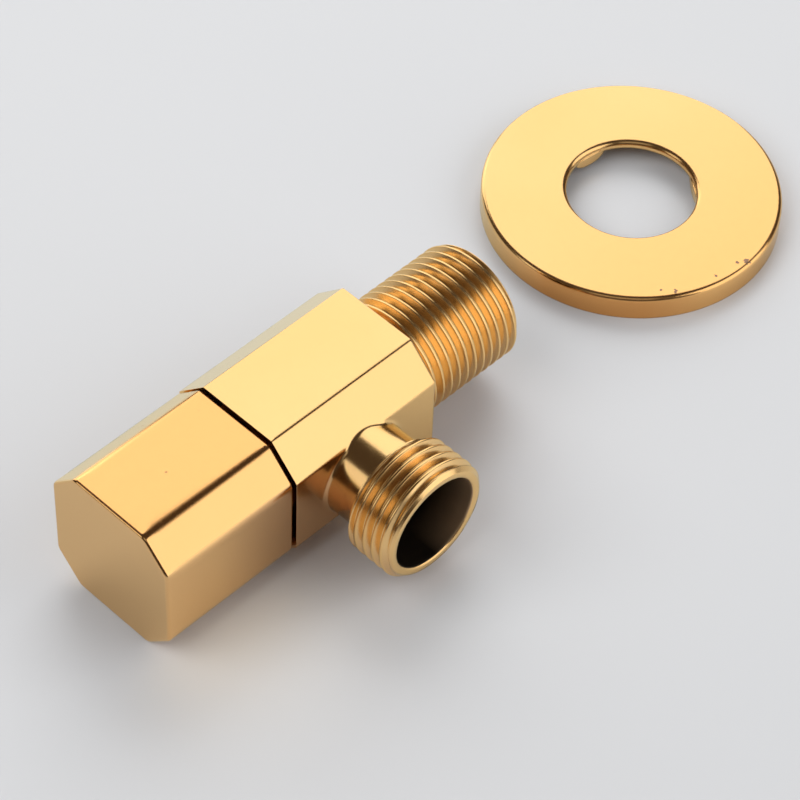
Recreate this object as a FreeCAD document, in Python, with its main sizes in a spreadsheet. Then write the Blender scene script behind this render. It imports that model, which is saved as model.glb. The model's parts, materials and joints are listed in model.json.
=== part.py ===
import FreeCAD, Part
import math
import os

import Sketcher

# Angle stop valve, quarter turn, G1/2 male x G1/2 male, with its wall escutcheon.
# Frame: +Z up, valve lying on its side. The valve axis is the Y axis: the wall end
# (inlet) points to +Y, the handle to -Y, the outlet to +X. The origin lies on the
# valve axis at the rear shoulder of the body. Millimetres.

V = FreeCAD.Vector

SIZES = [
    ("body_width", 26.0, "across the flats of the body section"),
    ("body_corner", 5.5, "leg of the 45 degree corner facets of the body"),
    ("body_length", 30.0, "front face to rear shoulder"),
    ("body_edge", 0.5, "rounding of the block's edges, its front face apart"),
    ("thread_radius", 10.4775, "G1/2 major radius"),
    ("thread_pitch", 1.814, "G1/2 pitch, 14 threads per inch"),
    ("thread_depth", 1.1, "height of the thread form"),
    ("thread_root", 0.3, "width of the flat at the root"),
    ("thread_relief", 0.3, "width of the run-out groove"),
    ("thread_chamfer", 1.0, "lead-in at a thread end"),
    ("inlet_length", 22.2, "shoulder to inlet end"),
    ("inlet_bore", 6.75, "radius of the inlet waterway"),
    ("outlet_axis", 15.7, "rear shoulder to outlet axis"),
    ("outlet_reach", 28.6, "valve axis to outlet end face"),
    ("outlet_thread", 9.4, "length of the outlet thread blank"),
    ("outlet_neck", 8.1, "radius of the plain neck"),
    ("neck_flare", 0.6, "fillet where the neck leaves the body"),
    ("outlet_mouth", 8.2, "radius of the outlet counterbore"),
    ("mouth_depth", 8.4, "depth of the outlet counterbore"),
    ("outlet_bore", 6.2, "radius of the outlet waterway"),
    ("chamber_radius", 9.1, "radius of the cartridge chamber"),
    ("seat_depth", 8.0, "rear shoulder to the seat of the chamber"),
    ("handle_gap", 0.7, "gap between handle and body"),
    ("handle_width", 25.4, "across the flats of the handle"),
    ("handle_corner", 5.0, "leg of the corner facets of the handle"),
    ("handle_length", 25.5, "length of the handle"),
    ("handle_round", 1.8, "rounding of the handle's long edges"),
    ("front_round", 0.5, "rounding round the handle's front face"),
    ("cavity_radius", 11.2, "radius of the hollow inside the handle"),
    ("front_wall", 2.5, "thickness of the handle front"),
    ("boss_radius", 8.0, "radius of the boss inside the handle"),
    ("boss_length", 11.5, "length of the boss inside the handle"),
    ("insert_radius", 6.5, "outer radius of the splined insert"),
    ("insert_length", 8.5, "length of the splined insert"),
    ("insert_bore", 3.95, "radius of the insert bore over the spline tips"),
    ("spline_tip", 3.9, "tip radius of the spindle spline"),
    ("spline_root", 3.45, "root radius of the spindle spline"),
    ("spline_teeth", 20, "number of spline teeth"),
    ("screw_radius", 2.0, "M4 grub screw"),
    ("screw_length", 8.0, "length of the grub screw"),
    ("screw_station", 46.5, "rear shoulder to the grub screw axis"),
    ("hex_width", 18.4, "across the flats of the cartridge hexagon"),
    ("hex_height", 3.5, "height of the cartridge hexagon"),
    ("gland_radius", 5.5, "radius of the cartridge neck"),
    ("gland_end", 38.0, "rear shoulder to the end of the cartridge neck"),
    ("housing_radius", 9.05, "radius of the cartridge screwed into the body"),
    ("skirt_radius", 8.7, "outer radius of the cartridge skirt"),
    ("skirt_bore", 7.7, "inner radius of the cartridge skirt"),
    ("skirt_start", 26.0, "rear shoulder to the step above the skirt"),
    ("disc_joint", 13.2, "rear shoulder to the sliding face of the discs"),
    ("disc_thickness", 3.0, "thickness of each ceramic disc"),
    ("disc_radius", 7.6, "radius of the fixed disc"),
    ("disc_gap", 0.03, "clearance modelled between the lapped faces"),
    ("disc_port", 5.9, "outer radius of the disc ports"),
    ("mover_radius", 7.4, "radius of the moving disc and the spindle foot"),
    ("foot_depth", 5.0, "length of the spindle foot"),
    ("spindle_radius", 4.0, "radius of the spindle"),
    ("spindle_bore", 4.05, "radius of the bore the spindle runs in"),
    ("spindle_end", 51.0, "rear shoulder to the outer end of the spindle"),
    ("spline_start", 41.5, "rear shoulder to the start of the spline"),
    ("inner_groove", 26.2, "rear shoulder to the inner seal groove"),
    ("outer_groove", 30.7, "rear shoulder to the outer seal groove"),
    ("groove_width", 1.6, "width of a seal groove"),
    ("groove_floor", 2.65, "radius at the bottom of a seal groove"),
    ("clip_floor", 3.3, "radius at the bottom of the clip groove"),
    ("seal_outer", 8.6, "outer radius of the seat seal"),
    ("seal_inner", 6.6, "inner radius of the seat seal"),
    ("support_inner", 5.7, "inner radius of the seal support ring"),
    ("escutcheon_radius", 25.6, "outer radius of the wall plate"),
    ("escutcheon_height", 4.6, "height of the wall plate"),
    ("escutcheon_sheet", 0.7, "sheet thickness of the wall plate"),
    ("escutcheon_hole", 11.05, "radius of the hole in the wall plate"),
    ("escutcheon_lip", 1.3, "depth of the turned-down lip"),
    ("escutcheon_edge", 0.8, "outer rounding of the rim"),
    ("lip_edge", 0.9, "rounding of the lip"),
    ("tab_width", 6.6, "width of a gripping tab"),
    ("tab_drop", 1.7, "length of a gripping tab below the lip"),
    ("tab_inset", 0.3, "how far a tab stands inside the hole"),
    ("escutcheon_x", -3.9, "wall plate centre"),
    ("escutcheon_y", 65.4, "wall plate centre"),
]

doc = FreeCAD.newDocument("angle_stop_valve")
sheet = doc.addObject("Spreadsheet::Sheet", "sizes")
for line, (alias, value, note) in enumerate(SIZES, 1):
    sheet.set(f"A{line}", alias)
    sheet.set(f"B{line}", str(value))
    sheet.setAlias(f"B{line}", alias)
    sheet.set(f"C{line}", note)
doc.recompute()
size = {alias: value for alias, value, note in SIZES}

parts = []


def cell(text):
    """Write sheet aliases in an expression with the sheet's name in front."""
    words = []
    for word in text.split():
        words.append("sizes." + word if word in size else word)
    return " ".join(words)


def plane(body, role):
    return next(f for f in body.Origin.OriginFeatures if f.Role == role)


def new_body(label):
    body = doc.addObject("PartDesign::Body", label)
    body.Label = label
    return body


def sketch_on(body, role, name, offset=None):
    """A sketch on one of the body's own origin planes, moved along the plane's normal."""
    sketch = body.newObject("Sketcher::SketchObject", name)
    sketch.AttachmentSupport = (plane(body, role), "")
    sketch.MapMode = "FlatFace"
    if offset:
        sketch.setExpression("AttachmentOffset.Base.z", cell(offset))
    return sketch


def polygon(sketch, corners):
    """Closed outline whose corners are bound to (along, across) expressions."""
    count = len(corners)
    start = sketch.GeometryCount
    guess = []
    for i in range(count):
        turn = 2 * math.pi * i / count
        guess.append(V(40 + 10 * math.cos(turn), 40 + 10 * math.sin(turn), 0))
    for i in range(count):
        sketch.addGeometry(Part.LineSegment(guess[i], guess[(i + 1) % count]), False)
    for i in range(count):
        after = start + (i + 1) % count
        sketch.addConstraint(Sketcher.Constraint("Coincident", start + i, 2, after, 1))
    for i, (along, across) in enumerate(corners):
        for kind, value, text in (("DistanceX", guess[i].x, along), ("DistanceY", guess[i].y, across)):
            index = sketch.addConstraint(Sketcher.Constraint(kind, -1, 1, start + i, 1, value))
            sketch.setExpression(f"Constraints[{index}]", cell(text))


def circle(sketch, radius, along="0", across="0"):
    ring = sketch.addGeometry(Part.Circle(V(3, 5, 0), V(0, 0, 1), 10), False)
    for kind, point, value, text in (
        ("Radius", None, 10, radius),
        ("DistanceX", 3, 3, along),
        ("DistanceY", 3, 5, across),
    ):
        if point is None:
            rule = Sketcher.Constraint(kind, ring, value)
        else:
            rule = Sketcher.Constraint(kind, -1, 1, ring, point, value)
        index = sketch.addConstraint(rule)
        sketch.setExpression(f"Constraints[{index}]", cell(text))


def turn(body, kind, name, corners, role="YZ_Plane", axis="H_Axis"):
    """Revolve or groove a bound outline; on YZ_Plane the corners are (y, radius) about Y."""
    sketch = sketch_on(body, role, name + "_outline")
    polygon(sketch, corners)
    feature = body.newObject("PartDesign::" + kind, name)
    feature.Profile = sketch
    feature.ReferenceAxis = (sketch, [axis])
    feature.Angle = 360
    body.Tip = feature
    return feature


def prism(body, kind, name, sketch, length, reverse=False, midplane=False):
    """Pad or pocket a sketch by a bound length."""
    feature = body.newObject("PartDesign::" + kind, name)
    feature.Profile = sketch
    feature.setExpression("Length", cell(length))
    feature.Reversed = reverse
    feature.Midplane = midplane
    body.Tip = feature
    return feature


def must_cut(body, feature, before):
    """A pocket or groove has to take material away."""
    doc.recompute()
    after = body.Shape.Volume
    if not 1e-3 < before - after < before:
        raise RuntimeError(f"{feature.Name} removed {before - after:.4f} mm3, {feature.State}")


def cut_turn(body, name, corners, role="YZ_Plane", axis="H_Axis"):
    doc.recompute()
    before = body.Shape.Volume
    feature = turn(body, "Groove", name, corners, role, axis)
    must_cut(body, feature, before)
    return feature


def cut_prism(body, name, sketch, length, reverse=False, midplane=False):
    doc.recompute()
    before = body.Shape.Volume
    feature = prism(body, "Pocket", name, sketch, length, reverse, midplane)
    must_cut(body, feature, before)
    return feature


def edges_where(body, test):
    doc.recompute()
    return [f"Edge{n}" for n, edge in enumerate(body.Shape.Edges, 1) if test(edge)]


def round_over(body, name, edges, radius):
    """Fillet the named edges of the body as it stands."""
    last = body.Tip
    feature = body.newObject("PartDesign::Fillet", name)
    feature.Base = (last, edges)
    feature.setExpression("Radius", cell(radius))
    body.Tip = feature
    doc.recompute()


def eight_sides(width, corner):
    """Corners of a square section with 45 degree corner facets."""
    half = f"{width} / 2"
    flat = f"{width} / 2 - {corner}"
    return [
        (flat, half), (half, flat), (half, f"- ( {flat} )"), (flat, f"- {half}"),
        (f"- ( {flat} )", f"- {half}"), (f"- {half}", f"- ( {flat} )"),
        (f"- {half}", flat), (f"- ( {flat} )", half),
    ]


def six_sides(half):
    """Corners of a hexagon from half its width across the flats."""
    corners = []
    for k in range(6):
        reach = f"( {half} ) / cos( 30 deg )"
        corners.append((f"{reach} * cos( {60 * k} deg )", f"{reach} * sin( {60 * k} deg )"))
    return corners


def bend(centre_r, centre_z, radius, first, last, steps=5):
    """Corner points of a rounded bend, as expressions."""
    points = []
    for k in range(steps + 1):
        angle = first + (last - first) * k / steps
        points.append((f"{centre_r} + ( {radius} ) * cos( {angle} deg )",
                       f"{centre_z} + ( {radius} ) * sin( {angle} deg )"))
    return points


def cylinder_sectors(name, count, radius, height, placement):
    """A plain thread blank in equal sectors, so that each crest face is a short arc."""
    sectors = []
    for i in range(count):
        sector = doc.addObject("Part::Cylinder", f"{name}_{i + 1}")
        sector.setExpression("Radius", cell(radius))
        sector.setExpression("Height", cell(height))
        sector.Angle = 360 / count
        spin = FreeCAD.Placement(V(), FreeCAD.Rotation(V(0, 0, 1), 360 * i / count - 20))
        sector.Placement = placement.multiply(spin)
        sectors.append(sector)
    blank = doc.addObject("Part::MultiFuse", name)
    blank.Shapes = sectors
    blank.Refine = False
    return blank


def thread_groove(first, turns):
    """The material between the thread ridges, round local Z, one turn fused to the next."""
    radius, pitch = size["thread_radius"], size["thread_pitch"]
    bottom = radius - size["thread_depth"]
    outside = 0.25
    half = size["thread_root"] / 2
    wide = half + (size["thread_depth"] + outside) * math.tan(math.radians(27.5))
    corners = [
        V(bottom, 0, -half), V(bottom, 0, half),
        V(radius + outside, 0, wide), V(radius + outside, 0, -wide),
    ]
    section = Part.makePolygon(corners + corners[:1])
    helix = Part.makeHelix(pitch, pitch, bottom)
    one = Part.Wire(helix.Edges).makePipeShell([section], True, True)
    copies = [one.translated(V(0, 0, first + pitch * i)) for i in range(turns)]
    return copies[0].multiFuse(copies[1:])


def ring_shape(profile):
    """A solid ring round local Z from (radius, height) corners."""
    wire = Part.makePolygon([V(r, 0, z) for r, z in profile + profile[:1]])
    return Part.Face(wire).revolve(V(), V(0, 0, 1), 360)


def thread_cutter(name, length, placement):
    """Thread groove, end chamfers and run-out groove of a blank of this length."""
    radius, chamfer = size["thread_radius"], size["thread_chamfer"]
    relief, pitch = size["thread_relief"], size["thread_pitch"]
    bottom = radius - size["thread_depth"] - 0.1
    rim = radius + 1
    tip = [(radius - chamfer, length + 0.01), (radius + 0.01, length - chamfer), (rim, length - chamfer),
           (rim, length + 0.01)]
    slope = 0.58 * (radius - bottom)
    start = [(bottom, 0), (bottom, relief), (radius + 0.01, relief + slope), (rim, relief + slope), (rim, 0)]
    turns = int(length / pitch) + 3
    grooves = thread_groove(-0.933 * pitch, turns)
    cutter = doc.addObject("Part::Feature", name)
    cutter.Shape = grooves.fuse([ring_shape(tip), ring_shape(start)])
    cutter.Placement = placement
    return cutter


def finish(label, feature):
    """Name the object that is the finished piece."""
    feature.Label = label
    parts.append(feature)


TO_INLET = FreeCAD.Placement(V(), FreeCAD.Rotation(V(1, 0, 0), -90))
TO_OUTLET = FreeCAD.Rotation(V(0, 1, 0), 90)


# valve_body: faceted block, plain neck, two threaded ends, waterway and chamber
block = new_body("body_block")
section = sketch_on(block, "XZ_Plane", "body_section")
polygon(section, eight_sides("body_width", "body_corner"))
prism(block, "Pad", "body_prism", section, "body_length")
behind_front = edges_where(block, lambda edge: edge.BoundBox.YMax > 0.1 - size["body_length"])
round_over(block, "block_edges", behind_front, "body_edge")
neck = sketch_on(block, "YZ_Plane", "neck_section")
circle(neck, "outlet_neck", "- outlet_axis")
prism(block, "Pad", "neck", neck, "outlet_reach - outlet_thread + 0.5")


def on_neck(edge):
    """True on the curve where the neck leaves the block."""
    if edge.Length < 1 or edge.BoundBox.XMax > size["body_width"] / 2 + 0.1:
        return False
    points = edge.discretize(5)
    radii = [math.hypot(p.y + size["outlet_axis"], p.z) for p in points]
    on_wall = all(abs(r - size["outlet_neck"]) < 0.01 for r in radii)
    return on_wall and all(p.x > 5 for p in points)


round_over(block, "neck_flare_fillet", edges_where(block, on_neck), "neck_flare")

inlet_blank = cylinder_sectors("inlet_blank", 6, "thread_radius", "inlet_length", TO_INLET)
outlet_start = size["outlet_reach"] - size["outlet_thread"]
outlet_place = FreeCAD.Placement(V(outlet_start, -size["outlet_axis"], 0), TO_OUTLET)
outlet_blank = cylinder_sectors("outlet_blank", 6, "thread_radius", "outlet_thread", outlet_place)
outside = doc.addObject("Part::MultiFuse", "body_outside")
outside.Shapes = [block, inlet_blank, outlet_blank]
outside.Refine = False

water = new_body("water_passage")
turn(water, "Revolution", "chamber_and_inlet", [
    ("- body_length - 1", "0"), ("- body_length - 1", "chamber_radius + 0.6"),
    ("- body_length", "chamber_radius + 0.6"), ("- body_length + 0.6", "chamber_radius"),
    ("- seat_depth", "chamber_radius"), ("- seat_depth", "inlet_bore"),
    ("inlet_length - 0.6", "inlet_bore"), ("inlet_length", "inlet_bore + 0.6"),
    ("inlet_length + 1", "inlet_bore + 0.6"), ("inlet_length + 1", "0"),
])
way_out = new_body("outlet_passage")
turn(way_out, "Revolution", "bore_and_mouth", [
    ("0", "4"), ("outlet_bore", "4"), ("outlet_bore", "outlet_reach - mouth_depth - 1.1"),
    ("outlet_mouth", "outlet_reach - mouth_depth"), ("outlet_mouth", "outlet_reach - 0.3"),
    ("outlet_mouth + 0.3", "outlet_reach"), ("outlet_mouth + 0.3", "outlet_reach + 1"),
    ("0", "outlet_reach + 1"),
], role="XZ_Plane", axis="V_Axis")
way_out.Placement = FreeCAD.Placement(V(0, -size["outlet_axis"], 0), TO_OUTLET)
inlet_cutter = thread_cutter("inlet_thread_cutter", size["inlet_length"], TO_INLET)
outlet_cutter = thread_cutter("outlet_thread_cutter", size["outlet_thread"], outlet_place)
hollow = doc.addObject("Part::Cut", "body_hollow")
hollow.Base = outside
hollow.Tool = water
hollow.Refine = False
open_body = doc.addObject("Part::Cut", "body_open")
open_body.Base = hollow
open_body.Tool = way_out
open_body.Refine = False
with_inlet = doc.addObject("Part::Cut", "body_with_inlet_thread")
with_inlet.Base = open_body
with_inlet.Tool = inlet_cutter
with_inlet.Refine = False
valve_body = doc.addObject("Part::Cut", "valve_body")
valve_body.Base = with_inlet
valve_body.Tool = outlet_cutter
valve_body.Refine = False
finish("valve_body", valve_body)

# cartridge_housing: hexagon, screwed-in collar, skirt with two water windows, spindle gland
housing = new_body("cartridge_housing")
turn(housing, "Revolution", "housing_turned", [
    ("- gland_end", "spindle_bore"), ("- gland_end", "gland_radius"),
    ("- body_length - hex_height", "gland_radius"), ("- body_length - hex_height", "hex_width / 2 + 1.5"),
    ("- body_length", "hex_width / 2 + 1.5"), ("- body_length", "housing_radius"),
    ("- body_length + 0.7", "housing_radius"), ("- body_length + 0.7", "7.9"),
    ("- body_length + 2.2", "7.9"), ("- body_length + 2.2", "housing_radius"),
    ("- skirt_start", "housing_radius"), ("- skirt_start", "skirt_radius"),
    ("- disc_joint + disc_thickness - 0.05", "skirt_radius"),
    ("- disc_joint + disc_thickness - 0.05", "skirt_bore"),
    ("- disc_joint - disc_thickness - foot_depth - 0.7", "skirt_bore"),
    ("- disc_joint - disc_thickness - foot_depth - 0.7", "spindle_bore"),
])
hexagon = sketch_on(housing, "XZ_Plane", "hexagon_waste", "body_length")
circle(hexagon, "hex_width")
polygon(hexagon, six_sides("hex_width / 2"))
cut_prism(housing, "hexagon", hexagon, "hex_height", reverse=True)
window = sketch_on(housing, "YZ_Plane", "window_outline")
polygon(window, [
    ("- disc_joint - disc_thickness - foot_depth", "-4.6"), ("- disc_joint - disc_thickness + 0.8", "-4.6"),
    ("- disc_joint - disc_thickness + 0.8", "4.6"), ("- disc_joint - disc_thickness - foot_depth", "4.6"),
])
cut_prism(housing, "windows", window, "2 * skirt_radius + 2", midplane=True)
finish("cartridge_housing", housing)

# discs: the fixed one sits on the seal, the moving one slides on it
PORT = [("1.2", "1.2"), ("disc_port * 0.94", "1.2"), ("disc_port * 0.74", "disc_port * 0.67"),
        ("disc_port * 0.3", "disc_port * 0.94")]
for label, radius, nearer, further in (
    ("fixed_disc", "disc_radius", "disc_joint - disc_thickness", "disc_joint - disc_gap / 2"),
    ("moving_disc", "mover_radius", "disc_joint + disc_gap / 2", "disc_joint + disc_thickness"),
):
    disc = new_body(label)
    outline = sketch_on(disc, "XZ_Plane", label + "_outline", nearer)
    circle(outline, radius)
    prism(disc, "Pad", label + "_plate", outline, f"{further} - ( {nearer} )")
    swap = label == "moving_disc"
    for side, sign in (("near", ""), ("far", "-")):
        port = sketch_on(disc, "XZ_Plane", f"{label}_port_{side}", nearer)
        corners = []
        for x, z in PORT:
            if swap:
                corners.append((f"- {sign} ( {z} )", f"{sign} ( {x} )"))
            else:
                corners.append((f"{sign} ( {x} )", f"{sign} ( {z} )"))
        polygon(port, corners)
        cut_prism(disc, f"{label}_hole_{side}", port, f"{further} - ( {nearer} )", reverse=True)
    if swap:
        slot = sketch_on(disc, "XZ_Plane", "drive_slot", f"{further} - 1.2")
        polygon(slot, [("-1.05", "-8"), ("1.05", "-8"), ("1.05", "8"), ("-1.05", "8")])
        cut_prism(disc, "drive_slot_cut", slot, "2", reverse=True)
    finish(label, disc)

# spindle: slotted foot that drives the moving disc, two seal grooves, clip groove, spline
spindle = new_body("spindle")
foot = "- disc_joint - disc_thickness"
turn(spindle, "Revolution", "spindle_turned", [
    (f"{foot} - 0.05", "0"), (f"{foot} - 0.05", "mover_radius"),
    (f"{foot} - foot_depth", "mover_radius"), (f"{foot} - foot_depth", "spindle_radius"),
    ("- inner_groove", "spindle_radius"), ("- inner_groove", "groove_floor"),
    ("- inner_groove - groove_width", "groove_floor"), ("- inner_groove - groove_width", "spindle_radius"),
    ("- outer_groove", "spindle_radius"), ("- outer_groove", "groove_floor"),
    ("- outer_groove - groove_width", "groove_floor"), ("- outer_groove - groove_width", "spindle_radius"),
    ("- gland_end - 0.15", "spindle_radius"), ("- gland_end - 0.15", "clip_floor"),
    ("- gland_end - 1.05", "clip_floor"), ("- gland_end - 1.05", "spindle_radius"),
    ("- spline_start", "spindle_radius"), ("- spline_start - 0.3", "spline_tip"),
    ("- spindle_end + 0.5", "spline_tip"), ("- spindle_end", "spline_tip - 0.5"), ("- spindle_end", "0"),
])
channel = sketch_on(spindle, "XZ_Plane", "foot_channel", "disc_joint + disc_thickness")
polygon(channel, [("1.6", "-8"), ("8", "-8"), ("8", "8"), ("1.6", "8")])
polygon(channel, [("-8", "-8"), ("-1.6", "-8"), ("-1.6", "8"), ("-8", "8")])
cut_prism(spindle, "foot_channels", channel, "foot_depth - 1.4", reverse=True)
key = sketch_on(spindle, "XZ_Plane", "drive_key_outline", "disc_joint + disc_thickness - 1.1")
polygon(key, [("-1", "-6.6"), ("1", "-6.6"), ("1", "6.6"), ("-1", "6.6")])
prism(spindle, "Pad", "drive_key", key, "1.6")
tooth = sketch_on(spindle, "XZ_Plane", "tooth_space", "spline_start + 0.5")
polygon(tooth, [
    ("-0.12", "spline_root"), ("0.12", "spline_root"),
    ("0.5", "spline_tip + 0.3"), ("-0.5", "spline_tip + 0.3"),
])
space = cut_prism(spindle, "tooth_gap", tooth, "spindle_end - spline_start + 0.5", reverse=True)
teeth = spindle.newObject("PartDesign::PolarPattern", "spline")
teeth.Originals = [space]
teeth.Axis = (plane(spindle, "Y_Axis"), [""])
teeth.Angle = 360
teeth.setExpression("Occurrences", cell("spline_teeth"))
spindle.Tip = teeth
finish("spindle", spindle)

# rings stacked round the axis: plain outlines, (y, radius) corners
RINGS = [
    ("thrust_washer", [
        (f"{foot} - foot_depth - 0.05", "spindle_radius + 0.05"),
        (f"{foot} - foot_depth - 0.05", "mover_radius"),
        (f"{foot} - foot_depth - 0.62", "mover_radius"),
        (f"{foot} - foot_depth - 0.62", "spindle_radius + 0.05"),
    ]),
    ("seat_seal", [
        ("- seat_depth - 0.02", "seal_inner + 0.3"), ("- seat_depth - 0.02", "seal_outer - 0.3"),
        ("- seat_depth - 0.32", "seal_outer"), ("- disc_joint + disc_thickness + 0.32", "seal_outer"),
        ("- disc_joint + disc_thickness + 0.02", "seal_outer - 0.3"),
        ("- disc_joint + disc_thickness + 0.02", "seal_inner + 0.3"),
        ("- disc_joint + disc_thickness + 0.32", "seal_inner"), ("- seat_depth - 0.32", "seal_inner"),
    ]),
    ("seal_support_ring", [
        ("- seat_depth - 0.3", "support_inner"), ("- seat_depth - 0.3", "seal_inner - 0.03"),
        ("- disc_joint + disc_thickness + 0.1", "seal_inner - 0.03"),
        ("- disc_joint + disc_thickness + 0.1", "support_inner"),
    ]),
]
for label, corners in RINGS:
    ring = new_body(label)
    turn(ring, "Revolution", label + "_turned", corners)
    finish(label, ring)

# rubber rings of round section
ORINGS = [
    ("housing_o_ring", 8.47, 0.55, "body_length - 1.45"),
    ("spindle_o_ring_inner", 3.34, 0.67, "inner_groove + groove_width / 2"),
    ("spindle_o_ring_outer", 3.34, 0.67, "outer_groove + groove_width / 2"),
]
for label, ring_radius, cord_radius, station in ORINGS:
    ring = doc.addObject("Part::Torus", label)
    ring.Radius1 = ring_radius
    ring.Radius2 = cord_radius
    ring.Placement = TO_INLET
    ring.setExpression("Placement.Base.y", cell(f"- ( {station} )"))
    finish(label, ring)

# spindle_clip: open retaining ring above the gland
clip = new_body("spindle_clip")
band = sketch_on(clip, "XZ_Plane", "clip_outline", "gland_end + 0.2")
circle(band, "gland_radius - 0.2")
circle(band, "clip_floor + 0.05")
prism(clip, "Pad", "clip_band", band, "0.8")
mouth = sketch_on(clip, "XZ_Plane", "clip_mouth", "gland_end")
polygon(mouth, [("-2", "0"), ("2", "0"), ("2.6", "9"), ("-2.6", "9")])
cut_prism(clip, "clip_gap", mouth, "2", reverse=True)
finish("spindle_clip", clip)

# handle_shell: faceted cap with round hollow, central boss and grub screw hole
handle = new_body("handle_shell")
front = "body_length + handle_gap"
section = sketch_on(handle, "XZ_Plane", "handle_section", front)
polygon(section, eight_sides("handle_width", "handle_corner"))
prism(handle, "Pad", "handle_prism", section, "handle_length")
front_y = -size["body_length"] - size["handle_gap"] - size["handle_length"]
long_edges = edges_where(handle, lambda edge: edge.BoundBox.YLength > 10)
round_over(handle, "long_rounding", long_edges, "handle_round")
front_edges = edges_where(handle, lambda edge: edge.BoundBox.YMax < front_y + 0.1)
round_over(handle, "front_rounding", front_edges, "front_round")
depth = "handle_length - front_wall"
cut_turn(handle, "handle_hollow", [
    (f"- ( {front} ) + 1", "boss_radius"), (f"- ( {front} ) + 1", "cavity_radius"),
    (f"- ( {front} ) - ( {depth} )", "cavity_radius"), (f"- ( {front} ) - ( {depth} )", "boss_radius"),
])
cut_turn(handle, "handle_socket", [
    (f"- ( {front} ) + 1", "0"), (f"- ( {front} ) + 1", "boss_radius + 0.2"),
    (f"- ( {front} ) - ( {depth} ) + boss_length", "boss_radius + 0.2"),
    (f"- ( {front} ) - ( {depth} ) + boss_length", "insert_radius"),
    (f"- ( {front} ) - ( {depth} ) + boss_length - insert_length", "insert_radius"),
    (f"- ( {front} ) - ( {depth} ) + boss_length - insert_length", "4.3"),
    (f"- ( {front} ) - ( {depth} ) + 1", "4.3"), (f"- ( {front} ) - ( {depth} ) + 1", "0"),
])
hole = sketch_on(handle, "XY_Plane", "screw_hole_outline")
circle(hole, "screw_radius + 0.03", "0", "- screw_station")
cut_prism(handle, "screw_hole", hole, "handle_width", reverse=False)
finish("handle_shell", handle)

# handle_insert: brass bush pressed in the boss, splined on the spindle
bush = new_body("handle_insert")
bush_start = f"- ( {front} ) - ( {depth} ) + boss_length - 0.1"
bush_end = f"- ( {front} ) - ( {depth} ) + boss_length - insert_length + 0.02"
turn(bush, "Revolution", "bush_turned", [
    (bush_start, "insert_bore + 0.4"), (bush_start, "insert_radius - 0.4"),
    (f"{bush_start} - 0.4", "insert_radius"), (bush_end, "insert_radius"),
    (bush_end, "insert_bore"), (f"{bush_start} - 0.4", "insert_bore"),
])
bush_hole = sketch_on(bush, "XY_Plane", "bush_screw_hole")
circle(bush_hole, "screw_radius + 0.03", "0", "- screw_station")
cut_prism(bush, "bush_hole", bush_hole, "handle_width", reverse=False)
finish("handle_insert", bush)

# handle_grub_screw: M4 socket set screw under the handle, bearing on the spline
screw = new_body("handle_grub_screw")
turn(screw, "Revolution", "screw_turned", [
    ("0", "- spline_tip - 0.03"), ("screw_radius - 0.8", "- spline_tip - 0.03"),
    ("screw_radius", "- spline_tip - 0.83"), ("screw_radius", "- spline_tip - screw_length + 0.3"),
    ("screw_radius - 0.3", "- spline_tip - screw_length"), ("0", "- spline_tip - screw_length"),
], role="XZ_Plane", axis="V_Axis")
socket = sketch_on(screw, "XY_Plane", "hex_socket", "- spline_tip - screw_length")
polygon(socket, six_sides("1"))
cut_prism(screw, "socket", socket, "2.2", reverse=True)
screw.Placement = FreeCAD.Placement(V(0, -size["screw_station"], 0), FreeCAD.Rotation())
finish("handle_grub_screw", screw)

# escutcheon: drawn sheet plate, open below, lip turned down into the hole, three gripping tabs
plate = new_body("escutcheon")
top, sheet_t = "escutcheon_height", "escutcheon_sheet"
rim = "escutcheon_radius - escutcheon_edge"
lip = "escutcheon_hole + lip_edge"
outline = [("escutcheon_radius", "0")]
outline += bend(rim, f"{top} - escutcheon_edge", "escutcheon_edge", 0, 90, 6)
outline += bend(lip, f"{top} - lip_edge", "lip_edge", 90, 180, 6)
outline += [("escutcheon_hole", f"{top} - escutcheon_lip"),
            (f"escutcheon_hole + {sheet_t}", f"{top} - escutcheon_lip")]
outline += bend(lip, f"{top} - lip_edge", f"lip_edge - {sheet_t}", 180, 90, 3)
outline += bend(rim, f"{top} - escutcheon_edge", f"escutcheon_edge - {sheet_t}", 90, 0, 3)
outline += [(f"escutcheon_radius - {sheet_t}", "0")]
turn(plate, "Revolution", "plate_turned", outline, role="XZ_Plane", axis="V_Axis")
tab = sketch_on(plate, "YZ_Plane", "tab_outline", "escutcheon_hole - tab_inset")
tab_root = f"{top} - escutcheon_lip"
tab_end = f"{tab_root} - tab_drop"
half_tab = [
    ("tab_width / 2", f"{tab_root} + 0.3"), ("tab_width / 2", tab_root),
    ("tab_width * 0.42", f"{tab_root} - tab_drop * 0.5"),
    ("tab_width * 0.28", f"{tab_end} + tab_drop * 0.15"),
    ("tab_width * 0.1", tab_end),
]
other_half = [(f"- {along}", height) for along, height in reversed(half_tab)]
polygon(tab, half_tab + other_half)
one_tab = prism(plate, "Pad", "tab", tab, "0.6")
tabs = plate.newObject("PartDesign::PolarPattern", "tabs")
tabs.Originals = [one_tab]
tabs.Axis = (plane(plate, "Z_Axis"), [""])
tabs.Angle = 360
tabs.Occurrences = 3
plate.Tip = tabs
spin = FreeCAD.Rotation(V(0, 0, 1), 53)
plate.Placement = FreeCAD.Placement(
    V(size["escutcheon_x"], size["escutcheon_y"], -size["body_width"] / 2), spin
)
finish("escutcheon", plate)

doc.recompute()

for item in doc.Objects:
    if "Invalid" in item.State or "Error" in item.State:
        raise RuntimeError(f"{item.Name} failed: {item.State}")
for item in parts:
    if item.Shape.isNull() or not item.Shape.isValid():
        raise RuntimeError(f"{item.Label} has no valid shape")

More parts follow.
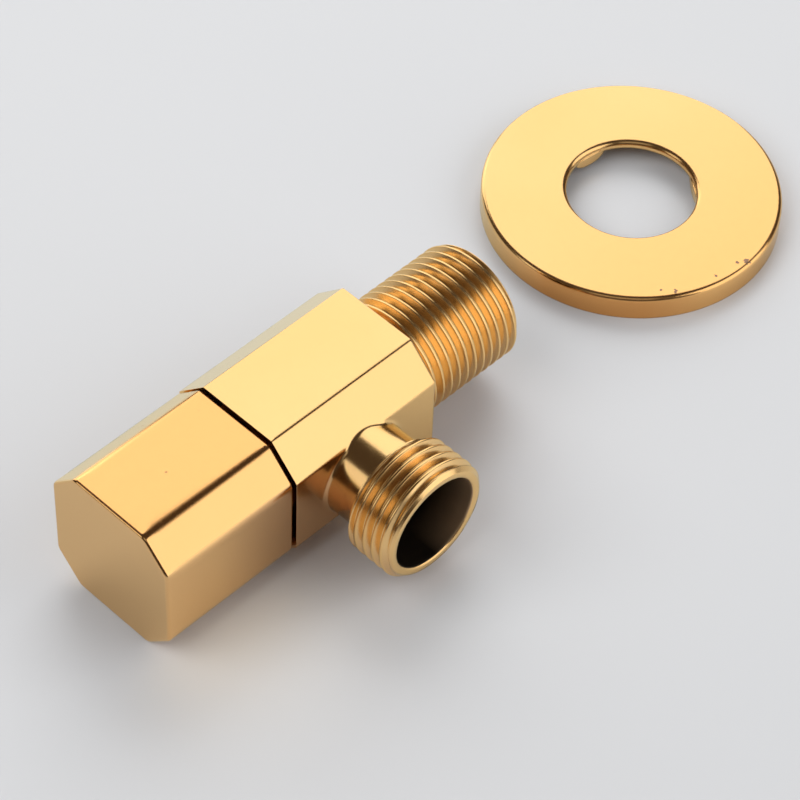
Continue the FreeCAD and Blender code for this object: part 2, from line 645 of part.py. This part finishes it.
os.makedirs("parts", exist_ok=True)
for item in parts:
    item.Shape.exportStep(f"parts/{item.Label}.step")
    print(item.Label, len(item.Shape.Solids), "solid", len(item.Shape.Faces), "faces",
          round(item.Shape.Volume, 1), "mm3")
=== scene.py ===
import json
import math

import bmesh
import bpy
from mathutils import Matrix, Vector


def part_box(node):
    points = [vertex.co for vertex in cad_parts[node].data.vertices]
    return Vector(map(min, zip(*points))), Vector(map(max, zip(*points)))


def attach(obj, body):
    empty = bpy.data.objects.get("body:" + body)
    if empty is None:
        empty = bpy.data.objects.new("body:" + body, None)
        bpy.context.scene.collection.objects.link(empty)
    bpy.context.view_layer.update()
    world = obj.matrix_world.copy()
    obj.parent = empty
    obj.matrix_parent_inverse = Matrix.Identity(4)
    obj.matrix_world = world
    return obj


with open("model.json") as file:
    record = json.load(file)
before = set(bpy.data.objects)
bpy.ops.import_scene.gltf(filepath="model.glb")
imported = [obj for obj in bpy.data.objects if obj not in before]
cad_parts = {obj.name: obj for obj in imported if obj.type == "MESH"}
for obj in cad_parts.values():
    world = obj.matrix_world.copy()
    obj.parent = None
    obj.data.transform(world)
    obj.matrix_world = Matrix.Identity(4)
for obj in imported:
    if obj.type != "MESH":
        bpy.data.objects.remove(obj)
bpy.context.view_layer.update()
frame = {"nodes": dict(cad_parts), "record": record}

# places on the object, in metres, from the boxes of its CAD nodes
BLOCK_LOW, BLOCK_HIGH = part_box("valve_body")
HANDLE_LOW, HANDLE_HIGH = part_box("handle_shell")
FLOOR_Z = BLOCK_LOW.z
BLOCK_FRONT = BLOCK_LOW.y
INLET_END = BLOCK_HIGH.y
OUTLET_END = BLOCK_HIGH.x
OUTLET_AXIS_Y = -0.0157


# ---------------------------------------------------------------- node helpers
def new_material(name):
    material = bpy.data.materials.new(name)
    material.use_nodes = True
    tree = material.node_tree
    tree.nodes.clear()
    output = tree.nodes.new("ShaderNodeOutputMaterial")
    shader = tree.nodes.new("ShaderNodeBsdfPrincipled")
    tree.links.new(shader.outputs["BSDF"], output.inputs["Surface"])
    return material, tree, shader


def feed(tree, socket, value):
    """Set an input to a number or a colour, or link it to another node's output."""
    if isinstance(value, (int, float)):
        socket.default_value = value
    elif isinstance(value, tuple):
        socket.default_value = (*value, 1.0)
    else:
        tree.links.new(value, socket)


def coordinates(tree, scale=(1, 1, 1)):
    """Object coordinates, in metres, scaled."""
    place = tree.nodes.new("ShaderNodeTexCoord")
    mapping = tree.nodes.new("ShaderNodeMapping")
    mapping.inputs["Scale"].default_value = scale
    tree.links.new(place.outputs["Object"], mapping.inputs["Vector"])
    return mapping.outputs["Vector"]


def noise(tree, where, scale, detail=3.0, roughness=0.5):
    node = tree.nodes.new("ShaderNodeTexNoise")
    node.inputs["Scale"].default_value = scale
    node.inputs["Detail"].default_value = detail
    node.inputs["Roughness"].default_value = roughness
    tree.links.new(where, node.inputs["Vector"])
    return node.outputs["Fac"]


def two_tone(tree, factor, dark, light):
    """Blend from dark to light over the middle of a noise."""
    node = tree.nodes.new("ShaderNodeValToRGB")
    for element, position, colour in zip(node.color_ramp.elements, (0.3, 0.7), (dark, light)):
        element.position = position
        element.color = (*colour, 1.0)
    tree.links.new(factor, node.inputs["Fac"])
    return node.outputs["Color"]


def spread(tree, value, low, high, start=0.3, end=0.7):
    """Map start..end, the middle of a noise unless told otherwise, onto low..high."""
    node = tree.nodes.new("ShaderNodeMapRange")
    node.inputs["From Min"].default_value = start
    node.inputs["From Max"].default_value = end
    node.inputs["To Min"].default_value = low
    node.inputs["To Max"].default_value = high
    tree.links.new(value, node.inputs["Value"])
    return node.outputs["Result"]


def fade(tree, value, zero_at, one_at):
    """A mask that grows from 0 at one value to 1 at another."""
    return spread(tree, value, 0, 1, zero_at, one_at)


def maths(tree, operation, first, second=0.0):
    node = tree.nodes.new("ShaderNodeMath")
    node.operation = operation
    feed(tree, node.inputs[0], first)
    feed(tree, node.inputs[1], second)
    return node.outputs["Value"]


def product(tree, *factors):
    found = factors[0]
    for factor in factors[1:]:
        found = maths(tree, "MULTIPLY", factor, found)
    return found


def mix(tree, factor, first, second):
    """Blend two colours."""
    node = tree.nodes.new("ShaderNodeMix")
    node.data_type = "RGBA"
    tree.links.new(factor, node.inputs["Factor"])
    feed(tree, node.inputs["A"], first)
    feed(tree, node.inputs["B"], second)
    return node.outputs["Result"]


def distance(tree, first, second):
    """Distance from an axis, from the two coordinates across it."""
    squares = maths(tree, "ADD", product(tree, first, first), product(tree, second, second))
    return maths(tree, "SQRT", squares)


def bump(tree, shader, height, strength, depth, soften=None):
    """Surface relief; soften also rounds the shading of edges over that many metres."""
    node = tree.nodes.new("ShaderNodeBump")
    if soften is not None:
        edges = tree.nodes.new("ShaderNodeBevel")
        edges.samples = 8
        feed(tree, edges.inputs["Radius"], soften)
        tree.links.new(edges.outputs["Normal"], node.inputs["Normal"])
    node.inputs["Strength"].default_value = strength
    node.inputs["Distance"].default_value = depth
    tree.links.new(height, node.inputs["Height"])
    tree.links.new(node.outputs["Normal"], shader.inputs["Normal"])


def parts(tree, kind):
    """The x, y and z of the object coordinates or of the surface normal."""
    place = tree.nodes.new("ShaderNodeTexCoord")
    split = tree.nodes.new("ShaderNodeSeparateXYZ")
    tree.links.new(place.outputs[kind], split.inputs["Vector"])
    return split.outputs["X"], split.outputs["Y"], split.outputs["Z"]


class Spot:
    """Where a point of the surface lies, in metres, and which way it faces, as node outputs."""

    def __init__(self, tree):
        self.x, self.y, self.z = parts(tree, "Object")
        self.sideways, _, self.upward = parts(tree, "Normal")
        self.upright = fade(tree, self.upward, 0.6, 0.25)

    def left_slope(self, tree):
        """1 on the sloping facets at the object's left."""
        return product(tree, fade(tree, self.upward, 0.3, 0.6), fade(tree, self.sideways, -0.4, -0.65))

    def corner_painted_shade(self, tree):
        """1 on upright faces in the corner between handle and outlet, where shade is painted, as they mirror
        only shaded gold.
        """
        from_handle = fade(tree, self.y, -0.046, -0.031)
        to_outlet = fade(tree, self.y, -0.0145, -0.0185)
        beside_block = product(tree, fade(tree, self.x, 0.008, 0.010), fade(tree, self.x, 0.020, 0.0185))
        return product(tree, self.upright, from_handle, to_outlet, beside_block)


# ---------------------------------------------------------------- gold coating
GOLD_TONES = ((0.93, 0.585, 0.235), (0.95, 0.61, 0.255))
# painted light: paler gold on the block's left slopes
BLOCK_SLOPE_PAINTED_LIGHT = (0.95, 0.70, 0.44)
# painted reflection: a deeper orange tone on the handle's top
HANDLE_TOP_PAINTED_REFLECTION = (0.96, 0.505, 0.18)
# painted shade: darker gold on the handle's upright faces
HANDLE_UPRIGHT_PAINTED_SHADE = (0.83, 0.50, 0.22)
# painted light: paler gold on the handle's left slopes
HANDLE_SLOPE_PAINTED_LIGHT = (0.94, 0.65, 0.34)
# painted shade: darker gold on upright faces in the corner between handle and outlet
CORNER_PAINTED_SHADE = (0.66, 0.375, 0.185)
# painted reflection: deeper gold toward the wall plate's right
PLATE_RIGHT_PAINTED_REFLECTION = (0.95, 0.54, 0.20)
# painted shade: darker gold on the plate's upright rim near the valve
PLATE_RIM_PAINTED_SHADE = (0.84, 0.41, 0.135)
# painted shade in the thread grooves: lighter high up, darker low down
GROOVE_SHADE_HIGH = (0.96, 0.63, 0.28)
GROOVE_SHADE_LOW = (0.70, 0.39, 0.20)
SPECK = (0.62, 0.34, 0.15)
CHIP = (0.33, 0.20, 0.13)
# painted shade: near-black tones inside the bores
BORE_SHADE_TONES = ((0.018, 0.013, 0.009), (0.028, 0.019, 0.012))
# painted light: a paler patch at the right of the outlet's mouth
BORE_MOUTH_PAINTED_LIGHT = (0.62, 0.40, 0.23)
EDGE_TINT = (0.93, 1.0, 0.91)
PLATE_SOFTENING = 0.00045

# small chips in the coating near the rim of the wall plate: x, y, radius, in metres
CHIPS = (
    (0.0208, 0.0668, 0.00055),
    (0.0199, 0.0655, 0.0003),
    (0.0194, 0.0605, 0.0003),
    (0.0171, 0.0531, 0.0004),
    (0.0152, 0.0515, 0.0002),
)
# bores of the valve body, in metres: radius that takes in their walls, and stretch of their axis
OUTLET_BORES = ((0.0083, 0.0195, OUTLET_END), (0.0063, 0.0, OUTLET_END))
VALVE_BORES = ((0.0092, BLOCK_FRONT - 0.0002, -0.001), (0.0074, BLOCK_FRONT - 0.0002, INLET_END - 0.0001))


# painted light and shade on the block: shade in the corner by the outlet, light on its left slopes
def block_light_and_shade(tree, gold, spot):
    gold = mix(tree, spot.corner_painted_shade(tree), gold, CORNER_PAINTED_SHADE)
    on_block = fade(tree, spot.y, 0.0005, 0.0)
    return mix(tree, product(tree, spot.left_slope(tree), on_block), gold, BLOCK_SLOPE_PAINTED_LIGHT)


# painted light and shade on the handle: a deeper reflected tone on top, shade on upright faces and in the
# corner, light on its left slopes
def handle_light_and_shade(tree, gold, spot):
    gold = mix(tree, spread(tree, spot.upward, 0.2, 1, 0.5, 1.0), gold, HANDLE_TOP_PAINTED_REFLECTION)
    gold = mix(tree, spot.upright, gold, HANDLE_UPRIGHT_PAINTED_SHADE)
    gold = mix(tree, spot.corner_painted_shade(tree), gold, CORNER_PAINTED_SHADE)
    return mix(tree, spot.left_slope(tree), gold, HANDLE_SLOPE_PAINTED_LIGHT)


# painted reflection and shade on the wall plate: deeper gold toward its right, shade on its rim near the
# valve
def plate_light_and_shade(tree, gold, spot):
    gold = mix(tree, fade(tree, spot.x, -0.022, 0.018), gold, PLATE_RIGHT_PAINTED_REFLECTION)
    toward_valve = product(tree, fade(tree, spot.x, -0.012, 0.0), fade(tree, spot.y, 0.058, 0.048))
    return mix(tree, product(tree, toward_valve, spot.upright), gold, PLATE_RIM_PAINTED_SHADE)


def groove_painted_shade(tree, gold, spot):
    """Painted shade in the thread grooves, darker low down; each thread skin stores where its grooves are.
    """
    groove = tree.nodes.new("ShaderNodeAttribute")
    groove.attribute_name = "groove"
    shaded_gold = mix(tree, fade(tree, spot.z, 0.002, -0.009), GROOVE_SHADE_HIGH, GROOVE_SHADE_LOW)
    return mix(tree, groove.outputs["Fac"], gold, shaded_gold)


def block_softening(tree, spot):
    """Softened edges on the block, crisp round its front face."""
    return spread(tree, spot.y, 0.0001, 0.0007, BLOCK_FRONT + 0.0002, BLOCK_FRONT + 0.001)


def handle_softening(tree, spot):
    """Soft long edges on the handle, widest near its front; crisp edges round its two ends."""
    from_front = maths(tree, "SUBTRACT", spot.y, HANDLE_LOW.y)
    from_rear = maths(tree, "SUBTRACT", HANDLE_HIGH.y, spot.y)
    from_end = maths(tree, "MULTIPLY", maths(tree, "MINIMUM", from_front, from_rear), 0.8)
    widest = spread(tree, spot.y, 0.0024, 0.0015, HANDLE_LOW.y, HANDLE_HIGH.y)
    return maths(tree, "MAXIMUM", maths(tree, "MINIMUM", from_end, widest), 0.0004)


def chips(tree, spot):
    """1 on the chips, with ragged outlines."""
    ragged = spread(tree, noise(tree, coordinates(tree), 2200, 2), 0.3, 1.5)
    found = 0.0
    for x, y, reach in CHIPS:
        away = distance(tree, maths(tree, "SUBTRACT", spot.x, x), maths(tree, "SUBTRACT", spot.y, y))
        chip = maths(tree, "LESS_THAN", away, maths(tree, "MULTIPLY", ragged, reach))
        found = maths(tree, "MAXIMUM", chip, found)
    return found


def bore_mask(tree, from_axis, along, bores):
    """1 inside any of the bores round one axis."""
    found = 0.0
    for reach, start, end in bores:
        within = maths(tree, "LESS_THAN", from_axis, reach)
        after, before = maths(tree, "GREATER_THAN", along, start), maths(tree, "LESS_THAN", along, end)
        found = maths(tree, "MAXIMUM", product(tree, within, after, before), found)
    return found


def inside_mask(tree, spot):
    """1 on the inner faces of the valve body."""
    from_outlet_axis = distance(tree, maths(tree, "SUBTRACT", spot.y, OUTLET_AXIS_Y), spot.z)
    outlet = bore_mask(tree, from_outlet_axis, spot.x, OUTLET_BORES)
    valve = bore_mask(tree, distance(tree, spot.x, spot.z), spot.y, VALVE_BORES)
    return maths(tree, "MAXIMUM", outlet, valve)


def bore_painted_light_and_shade(tree, where, spot):
    """Painted shade for the inside of the bores, a near-black tone of dull brass, with a painted light patch
    on the right of the outlet's mouth.
    """
    dark_shade = two_tone(tree, noise(tree, where, 260, 3), *BORE_SHADE_TONES)
    lit_patch = product(tree, fade(tree, spot.x, 0.021, 0.027), fade(tree, spot.y, -0.0150, -0.0085))
    return mix(tree, lit_patch, dark_shade, BORE_MOUTH_PAINTED_LIGHT)


def polished_gold(name, haze, light_and_shade, softening=None, chipped=False, bored=False):
    """Polished gold coating: slow drift of colour, haze, faint waves, rare specks, painted light and shade
    by place.

    softening is how far the edges are rubbed soft, in metres: a number, or a function of the spot.
    """
    material, tree, shader = new_material(name)
    where = coordinates(tree)
    spot = Spot(tree)
    # painted light and shade by place, laid over the gold's own drift of colour
    gold = light_and_shade(tree, two_tone(tree, noise(tree, where, 45, 2), *GOLD_TONES), spot)
    marks = fade(tree, noise(tree, where, 700, 1, 0.3), 0.825, 0.85)
    gold = mix(tree, marks, gold, SPECK)
    if chipped:
        chip = chips(tree, spot)
        gold = mix(tree, chip, gold, CHIP)
        marks = maths(tree, "MAXIMUM", marks, chip)
    rough = spread(tree, noise(tree, where, 900, 4, 0.6), *haze)
    rough = maths(tree, "MAXIMUM", rough, maths(tree, "MULTIPLY", marks, 0.3))
    metal = 1.0
    if bored:
        # inner faces: painted shade and a painted light patch in the colour, on a rougher, less metallic
        # surface
        inside = inside_mask(tree, spot)
        gold = mix(tree, inside, gold, bore_painted_light_and_shade(tree, where, spot))
        rough = maths(tree, "MAXIMUM", rough, maths(tree, "MULTIPLY", inside, 0.42))
        metal = maths(tree, "SUBTRACT", 1.0, maths(tree, "MULTIPLY", inside, 0.3))
    feed(tree, shader.inputs["Base Color"], gold)
    feed(tree, shader.inputs["Roughness"], rough)
    feed(tree, shader.inputs["Metallic"], metal)
    feed(tree, shader.inputs["Specular Tint"], EDGE_TINT)
    soften = softening(tree, spot) if callable(softening) else softening
    bump(tree, shader, noise(tree, where, 90, 1), 0.06, 0.0002, soften)
    return material


# ---------------------------------------------------------------- materials of the inner pieces
def bare_metal(name, dark, light, broad, grain, detail, rough, relief):
    """Uncoated metal: fine marks, grain per axis, in roughness and relief, and a slow change of tone."""
    material, tree, shader = new_material(name)
    marks = noise(tree, coordinates(tree, grain), 1.0, detail, 0.6)
    colour = two_tone(tree, noise(tree, coordinates(tree), broad, 3), dark, light)
    feed(tree, shader.inputs["Base Color"], colour)
    feed(tree, shader.inputs["Roughness"], spread(tree, marks, *rough))
    feed(tree, shader.inputs["Metallic"], 1.0)
    bump(tree, shader, marks, *relief)
    return material


def moulded(name, dark, light, rough, scale):
    """Rubber, plastic or ceramic: two close tones, grain in roughness and relief."""
    material, tree, shader = new_material(name)
    where = coordinates(tree)
    grain = noise(tree, where, scale, 4, 0.6)
    broad = noise(tree, where, scale / 8, 2)
    feed(tree, shader.inputs["Base Color"], two_tone(tree, broad, dark, light))
    feed(tree, shader.inputs["Roughness"], spread(tree, grain, rough - 0.06, rough + 0.08))
    bump(tree, shader, grain, 0.15, 0.00004)
    return material


# ---------------------------------------------------------------- finishes, by node and by material slot
GOLD = {
    "valve_body": polished_gold("body_gold", (0.14, 0.18), block_light_and_shade, block_softening, bored=True),
    "handle_shell": polished_gold("handle_gold", (0.12, 0.16), handle_light_and_shade, handle_softening),
    "escutcheon": polished_gold("plate_gold", (0.16, 0.21), plate_light_and_shade, PLATE_SOFTENING, chipped=True),
}
THREAD_GOLD = polished_gold("thread_gold", (0.21, 0.27), groove_painted_shade)
FINISH = {
    "plain_brass": bare_metal("plain_brass", dark=(0.62, 0.43, 0.18), light=(0.78, 0.58, 0.30), broad=150,
                              grain=(300, 3500, 300), detail=3, rough=(0.22, 0.42), relief=(0.25, 0.00005)),
    "steel": bare_metal("plain_steel", dark=(0.42, 0.42, 0.44), light=(0.62, 0.62, 0.63), broad=200,
                        grain=(2500, 2500, 2500), detail=4, rough=(0.25, 0.4), relief=(0.2, 0.00003)),
    "alumina": moulded("alumina", (0.80, 0.79, 0.74), (0.88, 0.87, 0.83), 0.22, 900),
    "black_rubber": moulded("black_rubber", (0.015, 0.015, 0.015), (0.03, 0.03, 0.03), 0.55, 1500),
    "white_plastic": moulded("white_plastic", (0.72, 0.71, 0.66), (0.82, 0.81, 0.77), 0.42, 1200),
}
for entry in frame["record"]["subparts"]:
    name = entry["node"]
    finish = GOLD[name] if name in GOLD else FINISH[entry["material_slot"]]
    for material_slot in frame["nodes"][name].material_slots:
        material_slot.material = finish


# ---------------------------------------------------------------- polished threads, in millimetres
THREAD_RADIUS, THREAD_PITCH = 10.4775, 1.814
THREAD_START = -0.933  # in turns, as on the CAD thread
CREST_HALF, CREST_ROUND = 0.187, 0.02
GROOVE_DEPTH, GROOVE_POWER = 1.09, 1.1
# depth, in millimetres, over which the painted groove shade grows to full strength
SHADED_DEPTH = 0.3
CHAMFER, RELIEF, RELIEF_DEPTH, RELIEF_SLOPE = 1.0, 0.3, 1.2, 0.58
SKIN = 0.02
STEPS_PER_TURN = 90
INLET_LENGTH = INLET_END * 1000
OUTLET_LENGTH = 9.4
OUTLET_START = OUTLET_END * 1000 - OUTLET_LENGTH
# half of the thread's outline, as distances from the middle of the groove
HALF_OUTLINE = (0.0, 0.06, 0.12, 0.187, 0.215, 0.26, 0.33, 0.42, 0.53, 0.66, 0.79, THREAD_PITCH / 2)


def groove_depth(from_crest):
    """Depth of the thread below its crest edge, at a distance from the middle of the crest."""
    if from_crest <= CREST_HALF:
        return -CREST_ROUND * (1 - (from_crest / CREST_HALF) ** 2)
    share = (THREAD_PITCH / 2 - from_crest) / (THREAD_PITCH / 2 - CREST_HALF)
    return GROOVE_DEPTH * (1 - share ** GROOVE_POWER)


def end_limit(height, length):
    """Largest radius of a thread at a height: lead-in chamfer at the tip, run-out groove at the root."""
    tip = THREAD_RADIUS - CHAMFER + (length - height)
    root = THREAD_RADIUS - RELIEF_DEPTH + max(0.0, height - RELIEF) / RELIEF_SLOPE
    return min(THREAD_RADIUS + CREST_ROUND, tip, root)


def thread_mesh(name, length, place):
    """A smooth helical sheet just over the thread of the CAD body; place maps local mm to metres."""
    half_pitch = THREAD_PITCH / 2
    offsets = [c - half_pitch for c in HALF_OUTLINE] + [half_pitch - c for c in reversed(HALF_OUTLINE[:-1])]
    row = len(offsets)
    turns = int(length / THREAD_PITCH) + 3
    lowest, highest = 0.02, length - 0.004
    points, heights, sunk, faces = [], [], [], []
    for i in range(STEPS_PER_TURN * turns + 1):
        angle = 2 * math.pi * i / STEPS_PER_TURN
        middle = THREAD_PITCH * (i / STEPS_PER_TURN + THREAD_START)
        for offset in offsets:
            height = min(max(middle + offset, lowest), highest)
            depth = groove_depth(half_pitch - abs(offset))
            reach = min(THREAD_RADIUS - depth, end_limit(height, length)) + SKIN
            points.append(place(reach * math.cos(angle), reach * math.sin(angle), height))
            heights.append(height)
            sunk.append(min(max(depth, 0.0) / SHADED_DEPTH, 1.0))
    for i in range(STEPS_PER_TURN * turns):
        for corner in range(i * row, (i + 1) * row - 1):
            face = (corner, corner + 1, corner + row + 1, corner + row)
            if len({heights[point] for point in face}) > 1:
                faces.append(face)
    mesh = bpy.data.meshes.new(name)
    mesh.from_pydata(points, [], faces)
    # how far down the groove each point lies, for the painted groove shade
    mesh.attributes.new("groove", "FLOAT", "POINT").data.foreach_set("value", sunk)
    return mesh


def thread_skin(name, length, place):
    mesh = thread_mesh(name, length, place)
    shape = bmesh.new()
    shape.from_mesh(mesh)
    bmesh.ops.remove_doubles(shape, verts=shape.verts, dist=2e-6)
    bmesh.ops.dissolve_degenerate(shape, dist=1e-6, edges=shape.edges)
    bmesh.ops.recalc_face_normals(shape, faces=shape.faces)
    shape.to_mesh(mesh)
    shape.free()
    mesh.shade_smooth()
    mesh.materials.append(THREAD_GOLD)
    skin = bpy.data.objects.new(name, mesh)
    bpy.context.scene.collection.objects.link(skin)
    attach(skin, "valve")


def along_inlet(x, y, height):
    return x / 1000, height / 1000, -y / 1000


def along_outlet(x, y, height):
    return (height + OUTLET_START) / 1000, y / 1000 + OUTLET_AXIS_Y, -x / 1000


thread_skin("inlet_thread_polish", INLET_LENGTH, along_inlet)
thread_skin("outlet_thread_polish", OUTLET_LENGTH, along_outlet)


# ---------------------------------------------------------------- floor
def floor_material():
    material, tree, shader = new_material("pale_board")
    where = coordinates(tree)
    colour = two_tone(tree, noise(tree, where, 6, 2), (0.652, 0.656, 0.665), (0.658, 0.662, 0.671))
    feed(tree, shader.inputs["Base Color"], colour)
    feed(tree, shader.inputs["Roughness"], spread(tree, noise(tree, where, 700, 3), 0.30, 0.32))
    return material


bpy.ops.mesh.primitive_plane_add(size=4, location=(0, 0, FLOOR_Z))
floor = bpy.context.object
floor.name = "floor"
floor.data.materials.append(floor_material())


# ---------------------------------------------------------------- light
def lamp(name, toward, width, height, radiance, tint=(1, 1, 1)):
    """A rectangular light of a given radiance that shines against the direction toward."""
    data = bpy.data.lights.new(name, "AREA")
    data.shape = "RECTANGLE"
    data.size, data.size_y = width, height
    data.energy = radiance * math.pi * width * height
    data.color = tint
    light = bpy.data.objects.new(name, data)
    light.rotation_euler = toward.to_track_quat("Z", "Y").to_euler()
    bpy.context.scene.collection.objects.link(light)
    return light


def softbox(name, azimuth, elevation, away, width, height, radiance):
    """A light that faces the object from a direction in degrees, at a distance in metres."""
    across, lift = math.radians(azimuth), math.radians(elevation)
    toward = Vector((math.cos(across) * math.cos(lift), math.sin(across) * math.cos(lift), math.sin(lift)))
    light = lamp(name, toward, width, height, radiance)
    light.location = toward * away
    return light


# name, azimuth, elevation, distance, width, height, radiance
PANELS = (
    ("back_left", 132, 29.5, 1.2, 1.00, 1.41, 1.28),
    ("far_left", 170, 18, 1.3, 0.62, 0.90, 1.40),
    ("back_right", 31, 25, 1.2, 1.30, 1.15, 1.22),
    ("front_left", -117, 28, 1.2, 0.50, 0.60, 0.9),
    ("front_right", -47, 52, 1.2, 0.80, 0.60, 0.35),
)
# the same, for lights that only brighten the floor and show in no reflection
FILLS = (
    ("fill_left", 135, 45, 1.0, 0.8, 0.8, 1.2),
    ("fill_right", 35, 42, 1.0, 0.8, 0.8, 0.7),
    ("fill_front", -110, 48, 1.0, 0.9, 0.7, 2.5),
)
for panel in PANELS:
    softbox(*panel)
for fill in FILLS:
    softbox(*fill).visible_glossy = False

# warm light that the handle's side throws on the floor
glow = lamp("handle_glow", Vector((-0.85, 0.0, 0.5)), 0.024, 0.014, 0.9, tint=(1.0, 0.72, 0.32))
glow.location = (0.0135, -0.046, -0.003)
glow.visible_glossy = False
glow.visible_camera = False

# a pale room for matt surfaces, and a dim brown one for reflections
PALE_ROOM, MIRRORED_ROOM = (0.176, 0.180, 0.189), (0.062, 0.048, 0.040)
world = bpy.data.worlds.new("studio")
world.use_nodes = True
room = world.node_tree
ray = room.nodes.new("ShaderNodeLightPath")
shade = mix(room, ray.outputs["Is Glossy Ray"], PALE_ROOM, MIRRORED_ROOM)
room.links.new(shade, room.nodes["Background"].inputs["Color"])
bpy.context.scene.world = world
bpy.context.scene.view_settings.view_transform = "Standard"


# ---------------------------------------------------------------- camera
YAW, TILT, ROLL = -0.750, 0.857, 0.043
LENS, DISTANCE, TARGET = 150.9, 0.5254, Vector((0.0073, -0.0020, 0.0))
ahead = Vector((math.sin(YAW) * math.cos(TILT), math.cos(YAW) * math.cos(TILT), -math.sin(TILT)))
level = Vector((math.cos(YAW), -math.sin(YAW), 0))
above = level.cross(ahead)
side = level * math.cos(ROLL) + above * math.sin(ROLL)
up = above * math.cos(ROLL) - level * math.sin(ROLL)
camera_data = bpy.data.cameras.new("camera")
camera_data.sensor_width = 36
camera_data.lens = LENS
camera_data.clip_start, camera_data.clip_end = 0.01, 20
camera = bpy.data.objects.new("camera", camera_data)
bpy.context.scene.collection.objects.link(camera)
turned = Matrix((side, up, -ahead)).transposed().to_4x4()
camera.matrix_world = Matrix.Translation(TARGET - ahead * DISTANCE) @ turned
bpy.context.scene.camera = camera
